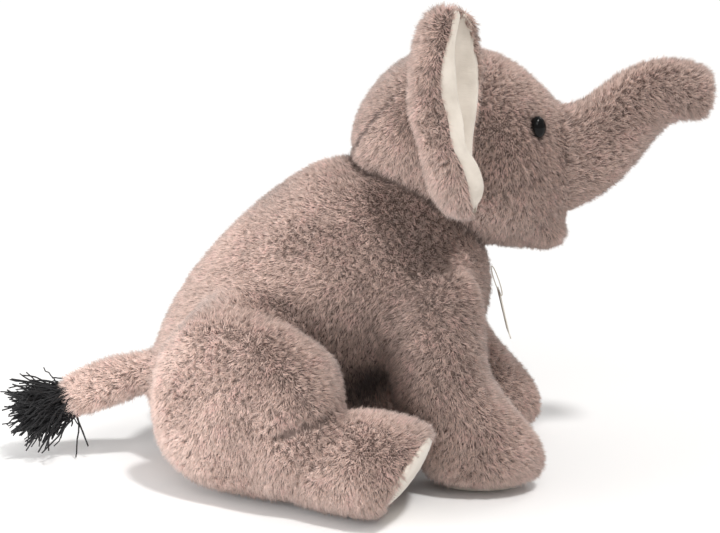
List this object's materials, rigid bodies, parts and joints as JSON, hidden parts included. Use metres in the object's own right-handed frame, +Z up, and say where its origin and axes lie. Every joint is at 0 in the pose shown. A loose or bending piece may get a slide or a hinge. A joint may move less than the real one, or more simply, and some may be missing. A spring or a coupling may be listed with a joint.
{
  "type": "stuffed elephant",
  "caption": "Seated plush elephant with a raised trunk, folded suede-lined ears, cream soles, a tufted tail and a blank hang tag.",
  "frame": {"origin": "on the surface that the elephant sits on, under the middle of its bounding box", "axes": "+X the way the elephant faces, +Y towards its left side, +Z up"},
  "size_m": [0.3909, 0.2656, 0.2513],
  "materials": {
    "plush": "dense short taupe pile",
    "suede": "smooth cream suede cloth",
    "granule_bag": "plain cotton",
    "filling": "polyester fibre filling",
    "eye": "polished black",
    "washer": "moulded",
    "yarn": "black cut yarn",
    "card": "uncoated cream card"
  },
  "bodies": {
    "body": {"body_panel_left": "plush", "body_panel_right": "plush", "body_stuffing": "filling", "seat_granule_bag": "granule_bag", "tag_loop": "suede"},
    "head": {"head_panel_left": "plush", "head_panel_right": "plush", "head_stuffing": "filling", "lower_lip": "plush", "eye_left": "eye", "eye_right": "eye", "eye_washer_left": "washer", "eye_washer_right": "washer"},
    "trunk": {"trunk_cover": "plush", "trunk_stuffing": "filling", "trunk_tip": "plush"},
    "ear_left": {"ear_outer_left": "plush", "ear_inner_left": "suede"},
    "foreleg_left": {"foreleg_left_cover": "plush", "foreleg_left_stuffing": "filling", "fore_sole_left": "suede"},
    "hind_leg_left": {"hind_leg_left_cover": "plush", "hind_leg_left_stuffing": "filling", "hind_sole_left": "suede"},
    "ear_right": {"ear_outer_right": "plush", "ear_inner_right": "suede"},
    "foreleg_right": {"foreleg_right_cover": "plush", "foreleg_right_stuffing": "filling", "fore_sole_right": "suede"},
    "hind_leg_right": {"hind_leg_right_cover": "plush", "hind_leg_right_stuffing": "filling", "hind_sole_right": "suede"},
    "tail": {"tail_cover": "plush", "tail_stuffing": "filling", "tail_tuft": "yarn"},
    "tag": {"hang_tag": "card"}
  },
  "joints": [
    {"name": "head_nod", "type": "hinge", "parent": "body", "child": "head", "pos_m": [0.0328, 0, 0.1434], "axis": [0, 1, 0], "range_deg": [-7, 3], "stiffness_Nm_per_rad": 1.5},
    {"name": "trunk_bend", "type": "hinge", "parent": "head", "child": "trunk", "pos_m": [0.1183, 0, 0.1649], "axis": [0, 1, 0], "range_deg": [-10, 8], "stiffness_Nm_per_rad": 0.3},
    {"name": "ear_flap_left", "type": "hinge", "parent": "head", "child": "ear_left", "pos_m": [0.0698, 0.0552, 0.1946], "axis": [0, 0, -1], "range_deg": [0, 25], "stiffness_Nm_per_rad": 0.02},
    {"name": "ear_flap_right", "type": "hinge", "parent": "head", "child": "ear_right", "pos_m": [0.0658, -0.0552, 0.1946], "axis": [0, 0, 1], "range_deg": [0, 25], "stiffness_Nm_per_rad": 0.02},
    {"name": "shoulder_left", "type": "hinge", "parent": "body", "child": "foreleg_left", "pos_m": [0.0523, 0.0327, 0.0901], "axis": [0, 1, 0], "range_deg": [-12, 0], "stiffness_Nm_per_rad": 0.6},
    {"name": "shoulder_right", "type": "hinge", "parent": "body", "child": "foreleg_right", "pos_m": [0.0448, -0.0327, 0.0901], "axis": [0, 1, 0], "range_deg": [-12, 0], "stiffness_Nm_per_rad": 0.6},
    {"name": "hip_left", "type": "hinge", "parent": "body", "child": "hind_leg_left", "pos_m": [-0.1062, 0.0447, 0.0492], "axis": [0, 0, 1], "range_deg": [0, 10], "stiffness_Nm_per_rad": 0.8},
    {"name": "hip_right", "type": "hinge", "parent": "body", "child": "hind_leg_right", "pos_m": [-0.1062, -0.0447, 0.0492], "axis": [0, 0, -1], "range_deg": [0, 10], "stiffness_Nm_per_rad": 0.8},
    {"name": "tail_swing", "type": "hinge", "parent": "body", "child": "tail", "pos_m": [-0.1292, 0, 0.0415], "axis": [0, 0, 1], "range_deg": [-20, 20], "stiffness_Nm_per_rad": 0.03},
    {"name": "tag_swing", "type": "hinge", "parent": "body", "child": "tag", "pos_m": [0.0838, 0, 0.0915], "axis": [0, 1, 0], "range_deg": [-30, 6]}
  ]
}
